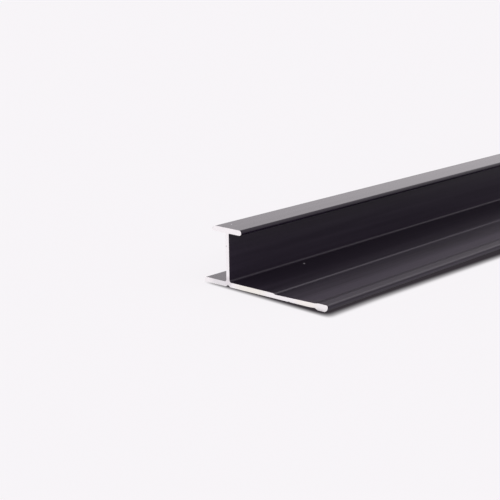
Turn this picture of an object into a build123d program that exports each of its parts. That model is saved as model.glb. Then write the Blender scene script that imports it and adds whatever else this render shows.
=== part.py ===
"""Aluminium joint profile for wall boards: one length of extruded stock.

A narrow cap and a wide base flange stand on either side of a thin web, so that a board
slips in under the cap on each side.  The base flange has a level seat beside the web, a
shallow step down to a recess, and a thickened bead along its far edge.

The section is drawn in the XZ plane and runs along Y.  While it is drawn, x is measured
from the middle of the web and z from the underside of the base flange.  The finished part
stands on z = 0, with the origin below the middle of its bounding box.  Lengths are in mm.
"""

from build123d import *
import os

# Stock
length = 1000.0
node_name = "h_trim_profile"

# Walls and the two board slots
web_thickness = 0.85
flange_thickness = 1.0
slot_height = 10.2
cap_thickness = 1.1
foot_radius = 0.5
head_radius = 0.15

# Reach of the cap and of the base flange from the middle of the web, to the short and to the long side
cap_short_reach = 4.21
cap_long_reach = 3.88
short_reach = 6.72
long_reach = 26.1

# Round on top of the cap's short edge, as a share of the cap's thickness
cap_round_share = 0.9

# Seat, step and recess on top of the long side
seat_reach = 12.22
step_width = 0.65
recess_thickness_at_step = 0.79
recess_thickness_at_bead = 1.0

# Bead along the edge of the long side
bead_width = 3.2
bead_rise = 0.17
bead_drop = 0.24
bead_ramp_width = 1.0
bead_top_radius = 0.37
bead_bottom_radius = 1.02

# Relief nick in the underside, inside the bead: its deepest line is so far from the bead's nose
nick_inset = 3.22
nick_depth = 0.1
nick_inner_width = 1.3
nick_outer_width = 0.8

# Grooves in the underside: below the web, and the fine score mark of the long side
groove_width = 1.3
groove_depth = 0.42
score_reach = 16.42
score_width = 0.4
score_depth = 0.12

# Heights above the underside of the base flange
cap_underside = flange_thickness + slot_height
cap_top = cap_underside + cap_thickness
bead_top = flange_thickness + bead_rise


def base_flange():
    """The wide flange, with a round short edge and the bead on its long edge."""
    edge_radius = flange_thickness / 2
    edge_start = -short_reach + edge_radius
    bead_foot = long_reach - bead_width
    nick_apex = long_reach - nick_inset
    outline = FilletPolyline(
        (edge_start, flange_thickness),
        (seat_reach, flange_thickness),
        (seat_reach + step_width, recess_thickness_at_step),
        (bead_foot, recess_thickness_at_bead),
        (bead_foot + bead_ramp_width, bead_top),
        (long_reach, bead_top),
        (long_reach, -bead_drop),
        (nick_apex + nick_outer_width, -bead_drop),
        (nick_apex, nick_depth),
        (nick_apex - nick_inner_width, 0),
        (edge_start, 0),
        radius=[0, 0, 0, 0, bead_top_radius, bead_bottom_radius, 0, 0, 0],
    )
    round_edge = ThreePointArc(outline @ 1, (-short_reach, edge_radius), outline @ 0)
    return make_face([*outline.edges(), round_edge])


def cap():
    """The narrow flange on top, with a round long edge and a short edge rounded off from above."""
    nose_radius = cap_thickness / 2
    nose_start = cap_long_reach - nose_radius
    outline = FilletPolyline(
        (nose_start, cap_top),
        (-cap_short_reach, cap_top),
        (-cap_short_reach, cap_underside),
        (nose_start, cap_underside),
        radius=[cap_thickness * cap_round_share, 0],
    )
    nose = ThreePointArc(outline @ 1, (cap_long_reach, cap_underside + nose_radius), outline @ 0)
    return make_face([*outline.edges(), nose])


def v_groove(middle, width, depth):
    """A V-shaped groove, cut upwards from the underside of the base flange."""
    return Polygon((middle - width / 2, 0), (middle + width / 2, 0), (middle, depth), align=None)


def web_corners(outline, end):
    """The two inner corners of the web: end 0 is its foot, end -1 its head."""
    web_sides = outline.edges().filter_by(Axis.Y).sort_by(SortBy.LENGTH)[-2:]
    return web_sides.vertices().group_by(Axis.Y)[end]


def section():
    """The whole cross section, drawn flat with z of the part as its second axis."""
    web_foot = flange_thickness / 2
    web_head = cap_underside + cap_thickness / 2
    web = Pos(0, web_foot) * Rectangle(web_thickness, web_head - web_foot, align=(Align.CENTER, Align.MIN))
    outline = base_flange() + web + cap()
    outline = fillet(web_corners(outline, 0), foot_radius)
    outline = fillet(web_corners(outline, -1), head_radius)
    outline -= v_groove(0, groove_width, groove_depth)
    outline -= v_groove(score_reach, score_width, score_depth)
    return outline


def profile():
    """The section pulled to the stock length and centred on the origin."""
    stock = extrude(Plane.XZ * section(), length / 2, both=True)
    middle_x = (long_reach - short_reach) / 2
    return Pos(-middle_x, 0, bead_drop) * stock


os.makedirs("parts", exist_ok=True)
export_step(profile(), f"parts/{node_name}.step")
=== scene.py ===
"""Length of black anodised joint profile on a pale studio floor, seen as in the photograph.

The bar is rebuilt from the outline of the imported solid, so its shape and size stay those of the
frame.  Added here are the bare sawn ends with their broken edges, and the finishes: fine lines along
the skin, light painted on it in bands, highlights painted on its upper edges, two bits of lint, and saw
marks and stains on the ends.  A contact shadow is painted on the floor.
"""

import bmesh
import bpy
import math
from mathutils import Matrix, Vector


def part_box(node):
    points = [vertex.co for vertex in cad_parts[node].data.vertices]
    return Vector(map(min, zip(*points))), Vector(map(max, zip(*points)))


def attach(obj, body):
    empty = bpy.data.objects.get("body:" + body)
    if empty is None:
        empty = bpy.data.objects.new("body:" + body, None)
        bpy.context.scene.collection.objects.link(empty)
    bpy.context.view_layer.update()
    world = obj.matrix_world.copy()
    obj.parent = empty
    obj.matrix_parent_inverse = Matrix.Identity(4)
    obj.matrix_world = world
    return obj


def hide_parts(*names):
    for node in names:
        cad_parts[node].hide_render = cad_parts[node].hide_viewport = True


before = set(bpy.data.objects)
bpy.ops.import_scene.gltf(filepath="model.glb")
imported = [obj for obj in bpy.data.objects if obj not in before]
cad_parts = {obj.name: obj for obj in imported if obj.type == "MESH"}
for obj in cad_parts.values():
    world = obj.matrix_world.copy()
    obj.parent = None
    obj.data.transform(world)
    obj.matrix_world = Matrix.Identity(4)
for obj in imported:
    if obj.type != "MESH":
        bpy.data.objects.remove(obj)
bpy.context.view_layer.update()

MM = 0.001
NODE = "h_trim_profile"
low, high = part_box(NODE)

# Camera, fitted to the long edges and the sawn end in the photograph
camera_place = Vector((151.84 * MM, -666.4 * MM, 67.45 * MM))
camera_look = Vector((-0.6608, 0.7082, -0.24868))
camera_roll_deg = -0.79
camera_clip_start = 1 * MM
focal_length_px = 1186
photo_width_px = 500
sensor_width_mm = 36.0

# Outline: points closer than the first are one, and facets of one round turn less and are narrower
# than the other two
weld_distance = 0.001 * MM
round_turn_deg = 9.5
round_facet = 0.16 * MM

# Sawn ends: width of their broken edge, and a limit to how far its sharp corners are drawn in
edge_break = 0.025 * MM
mitre_limit_share = 0.5

# Material numbers on the bar
SKIN = 0
BARE = 1

# Dye of the skin: near-black violet that varies from line to line.  Over it, light is painted in bands,
# little near the web and more out towards the bead, with lighter and darker painted reflections up
# the bead's nose.  Each band is a place and the share of painted light there: first across the section,
# then up the nose of the bead
dye_dark = (0.0110, 0.0071, 0.0156)
dye_light = (0.0138, 0.0094, 0.0188)
painted_light_colour = (0.0431, 0.0345, 0.0515)
painted_light_bands = [
    (-9.3 * MM, 0.09), (-8.7 * MM, 0.0), (-5.0 * MM, 0.0), (0.4 * MM, 0.15), (1.6 * MM, 0.17),
    (4.7 * MM, 0.17), (6.9 * MM, 0.40), (8.1 * MM, 0.40), (10.3 * MM, 1.0), (12.6 * MM, 0.95),
    (13.25 * MM, 0.14), (13.65 * MM, 0.14), (14.5 * MM, 0.5), (15.9 * MM, 0.45), (16.4 * MM, 0.1),
]
nose_painted_light_bands = [
    (0.2 * MM, 0.0), (0.45 * MM, 0.45), (0.7 * MM, 0.5), (0.95 * MM, 0.05), (1.1 * MM, 0.1),
]
nose_start = (14.9 * MM, 15.1 * MM)
nose_top = (0.95 * MM, 1.05 * MM)
streak_share = 1.6
skin_ior = 1.30

# Highlights painted on the upper edges of the step and the bead: the middle of each, its reach to either
# side, and the share of it left where it has faded along the bar.  The core of the reach is fully lit
painted_highlight_colour = (0.075, 0.069, 0.083)
highlight_edges = [(2.82 * MM, 0.25 * MM, 0.45), (16.15 * MM, 0.25 * MM, 0.9)]
highlight_core_share = 0.5
highlight_heights = (0.95 * MM, 1.05 * MM)
highlight_fade_start = 5 * MM
highlight_fade_end = 80 * MM

# Roughness of the skin: even on the cap, and below it in bands from the short side to the bead
cap_roughness = 0.16
cap_zone = (10.8 * MM, 11.3 * MM)
roughness_bands = [
    (-9.9 * MM, 0.20), (-9.5 * MM, 0.38), (-9.2 * MM, 0.38), (-8.7 * MM, 0.52), (-7.0 * MM, 0.52),
    (8.5 * MM, 0.62), (12.0 * MM, 0.62), (14.5 * MM, 0.48),
]
roughness_spread = 0.04

# Lines of the die, so wide, long and deep
fine_line_width = 0.25 * MM
broad_line_width = 1.0 * MM
line_length = 60 * MM
line_depth = 0.004 * MM

# Noise behind the lines and the saw marks: its detail, and the range that most of it stays in
noise_detail = 3
noise_range = (0.3, 0.7)

# Bare aluminium of the ends, with the marks of the saw
bare_dark = (0.955, 0.935, 0.94)
bare_light = (1.0, 0.98, 0.985)
bare_roughness = (0.36, 0.46)
saw_mark_width = 0.12 * MM
saw_mark_length = 6 * MM
saw_mark_turn_deg = 20
saw_mark_depth = 0.003 * MM

# Lint on the skin, and darker or stained places on the near sawn end: middle, half sizes and colour of
# each.  A spot is full within the first share of its half sizes, and gone at the second
spot_edge_shares = (0.5, 1)
lint_turn_deg = 133
lint_colour = (0.38, 0.37, 0.39)
lint = [
    (Vector((-11.18, -497.08, 12.54)) * MM, Vector((0.45, 0.16, 0.2)) * MM, lint_colour),
    (Vector((-7.29, -478.88, 1.24)) * MM, Vector((0.6, 0.24, 0.2)) * MM, lint_colour),
]
end_spots = [
    (Vector((-11.8, -500, 1.0)) * MM, Vector((3.4, 1, 1.4)) * MM, (0.845, 0.83, 0.84)),
    (Vector((-9.6, -500, 1.3)) * MM, Vector((1.3, 1, 1.5)) * MM, (0.83, 0.80, 0.815)),
    (Vector((-3.5, -500, 0.8)) * MM, Vector((5, 1, 1.4)) * MM, (0.95, 0.93, 0.87)),
    (Vector((10.9, -500, 0.8)) * MM, Vector((3.2, 1, 1.4)) * MM, (1.0, 0.965, 0.925)),
    (Vector((-13.74, -500, 12.06)) * MM, Vector((0.25, 0.25, 0.25)) * MM, (0.72, 0.70, 0.71)),
    (Vector((-9.98, -500, 8.74)) * MM, Vector((0.25, 0.25, 0.25)) * MM, (0.72, 0.70, 0.71)),
]

# Floor: a glow holds most of it at an even white for the camera, and the rest shows the light it gets
floor_half_size = 6.0
floor_colour = (0.945, 0.943, 0.945)
floor_roughness = 1.0
glow_colour = (0.836, 0.817, 0.839)
lit_share = 0.12

# Contact shadow painted on the floor: how far its middle lies from the edges of the bar, and how soft it
# is on its dark and its light side.  It is sharper before the near end, where its edge runs at a slant,
# and beside the bead it widens over the first stretch of the bar.  The bar mirrors a smaller painted one
painted_shadow_colour = (0.038, 0.032, 0.038)
shadow_past_bead = 1.72 * MM
shadow_widening = 1.84 * MM
shadow_widening_start = 13 * MM
shadow_widening_end = 80 * MM
shadow_inside_short_edge = 1.4 * MM
shadow_before_end = 0.33 * MM
shadow_front_sharpness = 1.4
shadow_slant_share = 0.046
shadow_inner_softness = 1.85 * MM
shadow_outer_softness = 1.3 * MM
shadow_corner = 3.2 * MM
shadow_mirrored_setback = 1.95 * MM

# Light: pale surroundings, brightest above a backdrop at the horizon and dim overhead
light_colour = (1.0, 0.95, 0.988)
side_strength = 1.35
zenith_strength = 0.25
fade_start_deg = 30
fade_end_deg = 90
backdrop_share = 0.68
backdrop_start_deg = 2
backdrop_end_deg = 16

# Surroundings as the camera sees them: of the floor's own tone, so that no horizon shows
seen_colour = (0.9335, 0.9114, 0.9361)
seen_strength = 1.0

# Sockets of a colour mix node by number, because their names repeat for each type of data
MIX_FACTOR = 0
MIX_FIRST = 6
MIX_SECOND = 7
MIX_RESULT = 2


def material(name):
    """A new node material: returns it with its node tree and its shader node."""
    made = bpy.data.materials.new(name)
    made.use_nodes = True
    tree = made.node_tree
    return made, tree, tree.nodes["Principled BSDF"]


def feed(tree, socket, value):
    """Give a socket the output of another node, a plain colour or a number."""
    if isinstance(value, bpy.types.NodeSocket):
        tree.links.new(value, socket)
    elif isinstance(value, tuple):
        socket.default_value = (*value, 1)
    else:
        socket.default_value = value


def calc(tree, operation, *values):
    """One math node, each of whose values is a number or the output of another node."""
    made = tree.nodes.new("ShaderNodeMath")
    made.operation = operation
    for socket, value in zip(made.inputs, values):
        feed(tree, socket, value)
    return made.outputs["Value"]


def ranged(tree, value, from_range, to_range, interpolation="LINEAR"):
    """A value carried from one range to another."""
    made = tree.nodes.new("ShaderNodeMapRange")
    made.interpolation_type = interpolation
    made.inputs["From Min"].default_value, made.inputs["From Max"].default_value = from_range
    made.inputs["To Min"].default_value, made.inputs["To Max"].default_value = to_range
    tree.links.new(value, made.inputs["Value"])
    return made.outputs["Result"]


def mixed(tree, factor, first, second):
    """A value between two, each of which is a number or the output of another node."""
    made = tree.nodes.new("ShaderNodeMix")
    feed(tree, made.inputs["Factor"], factor)
    feed(tree, made.inputs["A"], first)
    feed(tree, made.inputs["B"], second)
    return made.outputs["Result"]


def blended(tree, factor, first, second):
    """A colour between two, each of which is a plain colour or the output of another node."""
    made = tree.nodes.new("ShaderNodeMix")
    made.data_type = "RGBA"
    feed(tree, made.inputs[MIX_FACTOR], factor)
    feed(tree, made.inputs[MIX_FIRST], first)
    feed(tree, made.inputs[MIX_SECOND], second)
    return made.outputs[MIX_RESULT]


def split(tree, place):
    """The x, y and z of a place."""
    apart = tree.nodes.new("ShaderNodeSeparateXYZ")
    tree.links.new(place, apart.inputs["Vector"])
    return apart.outputs["X"], apart.outputs["Y"], apart.outputs["Z"]


def object_place(tree):
    """Where a point of the piece is."""
    return tree.nodes.new("ShaderNodeTexCoord").outputs["Object"]


def drawn_noise(tree, feature, turn=(0, 0, 0)):
    """Noise whose features have the given size along x, y and z, after a turn."""
    frame_of_lines = tree.nodes.new("ShaderNodeMapping")
    frame_of_lines.inputs["Rotation"].default_value = turn
    frame_of_lines.inputs["Scale"].default_value = [1 / size for size in feature]
    noise = tree.nodes.new("ShaderNodeTexNoise")
    noise.inputs["Scale"].default_value = 1
    noise.inputs["Detail"].default_value = noise_detail
    tree.links.new(object_place(tree), frame_of_lines.inputs["Vector"])
    tree.links.new(frame_of_lines.outputs["Vector"], noise.inputs["Vector"])
    return noise.outputs["Fac"]


def bumped(tree, height, depth, shader):
    """Relief of the given depth on a shader."""
    made = tree.nodes.new("ShaderNodeBump")
    made.inputs["Distance"].default_value = depth
    tree.links.new(height, made.inputs["Height"])
    tree.links.new(made.outputs["Normal"], shader.inputs["Normal"])


def spotted(tree, colour, spots, turn_deg=0):
    """A colour with soft spots of others, each given by its middle, its half sizes and its colour."""
    place = object_place(tree)
    for middle, half_sizes, spot_colour in spots:
        into_spot = tree.nodes.new("ShaderNodeMapping")
        into_spot.vector_type = "TEXTURE"
        into_spot.inputs["Location"].default_value = middle
        into_spot.inputs["Rotation"].default_value = (0, 0, math.radians(turn_deg))
        into_spot.inputs["Scale"].default_value = half_sizes
        away = tree.nodes.new("ShaderNodeVectorMath")
        away.operation = "LENGTH"
        tree.links.new(place, into_spot.inputs["Vector"])
        tree.links.new(into_spot.outputs["Vector"], away.inputs[0])
        cover = ranged(tree, away.outputs["Value"], spot_edge_shares, (1, 0))
        colour = blended(tree, cover, colour, spot_colour)
    return colour


def banded(tree, place, bands):
    """A value that eases from band to band: each is given by a place and the value there."""
    start, end = bands[0][0], bands[-1][0]
    made = tree.nodes.new("ShaderNodeValToRGB")
    made.color_ramp.interpolation = "EASE"
    stops = made.color_ramp.elements
    for middle, _ in bands[1:-1]:
        stops.new((middle - start) / (end - start))
    for stop, (_, value) in zip(stops, bands):
        stop.color = (value, value, value, 1)
    tree.links.new(ranged(tree, place, (start, end), (0, 1)), made.inputs["Fac"])
    return made.outputs["Color"]


def skin_roughness(tree, uneven):
    """Roughness of the skin: from band to band, on the cap, and a little from line to line."""
    x, _, z = split(tree, object_place(tree))
    on_cap = ranged(tree, z, cap_zone, (0, 1))
    roughness = mixed(tree, on_cap, banded(tree, x, roughness_bands), cap_roughness)
    spread = ranged(tree, uneven, noise_range, (-roughness_spread / 2, roughness_spread / 2))
    return calc(tree, "ADD", roughness, spread)


def edge_highlight(tree):
    """Where highlights are painted on the upper edges of the step and the bead: 1 on the edge, 0 beside
    it.
    """
    x, y, z = split(tree, object_place(tree))
    stretch = (low.y + highlight_fade_start, low.y + highlight_fade_end)
    highlights = []
    for middle, reach, far_share in highlight_edges:
        away = calc(tree, "ABSOLUTE", calc(tree, "SUBTRACT", x, middle))
        on_edge = ranged(tree, away, (reach * highlight_core_share, reach), (1, 0))
        highlights.append(calc(tree, "MULTIPLY", on_edge, ranged(tree, y, stretch, (1, far_share))))
    on_top = ranged(tree, z, highlight_heights, (0, 1))
    return calc(tree, "MULTIPLY", on_top, calc(tree, "MAXIMUM", *highlights))


def painted_light_share(tree):
    """How much light is painted on the skin: in bands across the section, and in bands up the bead's nose.
    """
    x, _, z = split(tree, object_place(tree))
    beyond_start = ranged(tree, x, nose_start, (0, 1))
    below_top = ranged(tree, z, nose_top, (1, 0))
    on_nose = calc(tree, "MULTIPLY", beyond_start, below_top)
    return mixed(tree, on_nose, banded(tree, x, painted_light_bands), banded(tree, z, nose_painted_light_bands))


def anodised_material():
    """Satin black anodised skin with the lines of the die along it, and light and highlights painted on
    it.
    """
    made, tree, shader = material("black_anodised")
    broad = drawn_noise(tree, (broad_line_width, line_length, broad_line_width))
    fine = drawn_noise(tree, (fine_line_width, line_length, fine_line_width))
    # How much light is painted on the skin, streaked by the broad lines of the die
    share = painted_light_share(tree)
    room = calc(tree, "MULTIPLY", share, calc(tree, "SUBTRACT", 1, share))
    streaks = ranged(tree, broad, noise_range, (-streak_share, streak_share))
    pale = calc(tree, "MULTIPLY_ADD", room, streaks, share)
    skin_colour = blended(tree, pale, blended(tree, broad, dye_dark, dye_light), painted_light_colour)
    # Highlights painted along the upper edges of the step and the bead
    skin_colour = blended(tree, edge_highlight(tree), skin_colour, painted_highlight_colour)
    tree.links.new(spotted(tree, skin_colour, lint, lint_turn_deg), shader.inputs["Base Color"])
    tree.links.new(skin_roughness(tree, broad), shader.inputs["Roughness"])
    bumped(tree, fine, line_depth, shader)
    shader.inputs["IOR"].default_value = skin_ior
    return made


def sawn_material():
    """Bare aluminium left by the saw."""
    made, tree, shader = material("sawn_aluminium")
    turn = (0, math.radians(saw_mark_turn_deg), 0)
    marks = drawn_noise(tree, (saw_mark_width, saw_mark_width, saw_mark_length), turn)
    bare = blended(tree, marks, bare_dark, bare_light)
    tree.links.new(spotted(tree, bare, end_spots), shader.inputs["Base Color"])
    tree.links.new(ranged(tree, marks, noise_range, bare_roughness), shader.inputs["Roughness"])
    bumped(tree, marks, saw_mark_depth, shader)
    shader.inputs["Metallic"].default_value = 1.0
    return made


def signed_area(points):
    """Area of a closed loop, positive where it runs anticlockwise."""
    return sum(a.cross(b) for a, b in zip(points, points[1:] + points[:1])) / 2


def end_outline(node):
    """The section of a packed bar, as an anticlockwise loop of (x, z) read from its near end."""
    bm = bmesh.new()
    bm.from_mesh(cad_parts[node].data)
    bmesh.ops.remove_doubles(bm, verts=bm.verts, dist=weld_distance)
    near = {v for v in bm.verts if abs(v.co.y - low.y) < weld_distance}
    on_end = {f for f in bm.faces if set(f.verts) <= near}
    rim = [e for e in bm.edges if set(e.verts) <= near and not set(e.link_faces) <= on_end]
    links = {}
    for edge in rim:
        a, b = edge.verts
        links.setdefault(a, []).append(b)
        links.setdefault(b, []).append(a)
    start = rim[0].verts[0]
    loop = [start]
    before, here = start, links[start][0]
    while here is not start:
        loop.append(here)
        before, here = here, next(v for v in links[here] if v is not before)
    points = [Vector((v.co.x, v.co.z)) for v in loop]
    bm.free()
    if signed_area(points) < 0:
        points.reverse()
    return points


def with_neighbours(points):
    """Each point of a closed loop, between the one before it and the one after it."""
    return zip(points[-1:] + points[:-1], points, points[1:] + points[:1])


def inset(points, distance):
    """A closed anticlockwise loop moved inwards along its corner bisectors."""
    moved = []
    for before, here, after in with_neighbours(points):
        into = (here - before).normalized()
        out = (after - here).normalized()
        normal_in = Vector((-into.y, into.x))
        normal_out = Vector((-out.y, out.x))
        bisector = (normal_in + normal_out).normalized()
        moved.append(here + bisector * (distance / max(bisector.dot(normal_in), mitre_limit_share)))
    return moved


def crisp_corners(points):
    """For each point of a closed loop, whether it is a true corner rather than part of a round."""
    crisp = []
    for before, here, after in with_neighbours(points):
        into, out = here - before, after - here
        turn = abs(into.angle_signed(out))
        crisp.append(turn > math.radians(round_turn_deg) or min(into.length, out.length) > round_facet)
    return crisp


def profile_mesh(outline):
    """The whole bar: four rings along its length, joined, with a flat face on each sawn end."""
    rim = inset(outline, edge_break)
    crisp = crisp_corners(outline)
    stations = [(low.y, rim), (low.y + edge_break, outline), (high.y - edge_break, outline), (high.y, rim)]
    bm = bmesh.new()
    rings = [[bm.verts.new((p.x, y, p.y)) for p in points] for y, points in stations]
    count = len(outline)
    for finish, ring, following in zip((BARE, SKIN, BARE), rings, rings[1:]):
        for i in range(count):
            j = (i + 1) % count
            face = bm.faces.new((ring[i], ring[j], following[j], following[i]))
            face.material_index = finish
            face.smooth = True
            bm.edges.get((ring[i], following[i])).smooth = not crisp[i]
    for ring in (rings[0], rings[-1]):
        bm.faces.new(ring).material_index = BARE
    for ring in rings:
        for i in range(count):
            bm.edges.get((ring[i], ring[i - 1])).smooth = False
    bmesh.ops.recalc_face_normals(bm, faces=bm.faces)
    mesh = bpy.data.meshes.new("profile")
    bm.to_mesh(mesh)
    bm.free()
    return mesh


def build_profile(outline):
    """The bar with its two finishes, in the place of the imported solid."""
    mesh = profile_mesh(outline)
    mesh.materials.append(anodised_material())
    mesh.materials.append(sawn_material())
    bar = bpy.data.objects.new("profile", mesh)
    bpy.context.collection.objects.link(bar)
    bar.modifiers.new("even_flats", "WEIGHTED_NORMAL").keep_sharp = True
    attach(bar, "root")
    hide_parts(NODE)


def beyond_painted_shadow(tree, camera_ray):
    """How far a point of the floor lies beyond the middle of the painted shadow's soft edge."""
    x, y, _ = split(tree, tree.nodes.new("ShaderNodeNewGeometry").outputs["Position"])
    stretch = (low.y + shadow_widening_start, low.y + shadow_widening_end)
    widening = ranged(tree, y, stretch, (0, shadow_widening))
    widened = calc(tree, "MULTIPLY", widening, camera_ray)
    beyond_bead = calc(tree, "SUBTRACT", calc(tree, "SUBTRACT", x, high.x + shadow_past_bead), widened)
    beyond_short_edge = calc(tree, "SUBTRACT", low.x + shadow_inside_short_edge, x)
    beside = calc(tree, "MAXIMUM", beyond_bead, beyond_short_edge)
    front = low.y - shadow_before_end + low.x * shadow_slant_share
    slanted_front = calc(tree, "MULTIPLY_ADD", x, -shadow_slant_share, front)
    before_end = calc(tree, "MULTIPLY", calc(tree, "SUBTRACT", slanted_front, y), shadow_front_sharpness)
    past_end = calc(tree, "SUBTRACT", y, high.y)
    along = calc(tree, "MAXIMUM", before_end, past_end)
    distance = calc(tree, "SMOOTH_MAX", beside, along, shadow_corner)
    setback = ranged(tree, camera_ray, (0, 1), (shadow_mirrored_setback, 0))
    return calc(tree, "ADD", distance, setback)


def painted_shadow_depth(tree, camera_ray):
    """How dark the painted shadow makes the floor: 1 under the bar and 0 where the shadow ends."""
    beyond = beyond_painted_shadow(tree, camera_ray)
    inner = ranged(tree, beyond, (-shadow_inner_softness, 0), (-1, 0))
    outer = ranged(tree, beyond, (0, shadow_outer_softness), (0, 1))
    return ranged(tree, calc(tree, "ADD", inner, outer), (-1, 1), (1, 0), "SMOOTHSTEP")


def floor_material():
    """Pale matt floor, with the contact shadow of the bar painted into its colour and glow."""
    made, tree, shader = material("floor")
    shader.inputs["Roughness"].default_value = floor_roughness
    shader.inputs["Specular IOR Level"].default_value = 0.0
    rays = tree.nodes.new("ShaderNodeLightPath")
    camera_ray = rays.outputs["Is Camera Ray"]
    seen = calc(tree, "MAXIMUM", camera_ray, rays.outputs["Is Glossy Ray"])
    # Contact shadow painted on the floor: it darkens both its colour and its glow
    depth = painted_shadow_depth(tree, camera_ray)
    light_kept = ranged(tree, seen, (0, 1), (1, lit_share))
    lit = calc(tree, "MULTIPLY", calc(tree, "SUBTRACT", 1, depth), light_kept)
    tree.links.new(blended(tree, lit, (0, 0, 0), floor_colour), shader.inputs["Base Color"])
    tree.links.new(blended(tree, depth, glow_colour, painted_shadow_colour), shader.inputs["Emission Color"])
    tree.links.new(seen, shader.inputs["Emission Strength"])
    return made


def build_floor(outline):
    """Floor under the bar, leaning so that it touches the bead and the short edge of the flange."""
    mesh = bpy.data.meshes.new("floor")
    s = floor_half_size
    mesh.from_pydata([(-s, -s, 0), (s, -s, 0), (s, s, 0), (-s, s, 0)], [], [(0, 1, 2, 3)])
    mesh.materials.append(floor_material())
    floor = bpy.data.objects.new("floor", mesh)
    bpy.context.collection.objects.link(floor)
    touch = min((p for p in outline if p.y - low.z < weld_distance), key=lambda p: p.x)
    lean = math.atan(min((p.y - touch.y) / (touch.x - p.x) for p in outline if p.x < touch.x))
    floor.matrix_world = Matrix.Translation((touch.x, 0, low.z)) @ Matrix.Rotation(lean, 4, "Y")


def height_at(*angles_deg):
    """Heights on a sphere of radius 1, at angles above the horizon."""
    return [math.sin(math.radians(angle)) for angle in angles_deg]


def build_world():
    """Pale surroundings, brightest above the horizon; the camera sees them as pale as the floor."""
    world = bpy.data.worlds.new("surroundings")
    world.use_nodes = True
    tree = world.node_tree
    background = tree.nodes["Background"]
    height = split(tree, tree.nodes.new("ShaderNodeTexCoord").outputs["Generated"])[2]
    fade = height_at(fade_start_deg, fade_end_deg)
    sky = ranged(tree, height, fade, (side_strength, zenith_strength), "SMOOTHSTEP")
    rise = height_at(backdrop_start_deg, backdrop_end_deg)
    backdrop = ranged(tree, height, rise, (backdrop_share, 1), "SMOOTHSTEP")
    strength = calc(tree, "MULTIPLY", sky, backdrop)
    camera_ray = tree.nodes.new("ShaderNodeLightPath").outputs["Is Camera Ray"]
    tree.links.new(blended(tree, camera_ray, light_colour, seen_colour), background.inputs["Color"])
    tree.links.new(mixed(tree, camera_ray, strength, seen_strength), background.inputs["Strength"])
    bpy.context.scene.world = world


def build_camera():
    """The photograph's camera."""
    data = bpy.data.cameras.new("photo_camera")
    data.sensor_width = sensor_width_mm
    data.lens = focal_length_px / photo_width_px * sensor_width_mm
    data.clip_start = camera_clip_start
    camera = bpy.data.objects.new("photo_camera", data)
    bpy.context.collection.objects.link(camera)
    turn = camera_look.to_track_quat("-Z", "Y").to_matrix().to_4x4()
    roll = Matrix.Rotation(math.radians(camera_roll_deg), 4, "Z")
    camera.matrix_world = Matrix.Translation(camera_place) @ turn @ roll
    bpy.context.scene.camera = camera


outline = end_outline(NODE)
build_profile(outline)
build_floor(outline)
build_world()
build_camera()
bpy.context.scene.view_settings.view_transform = "Standard"
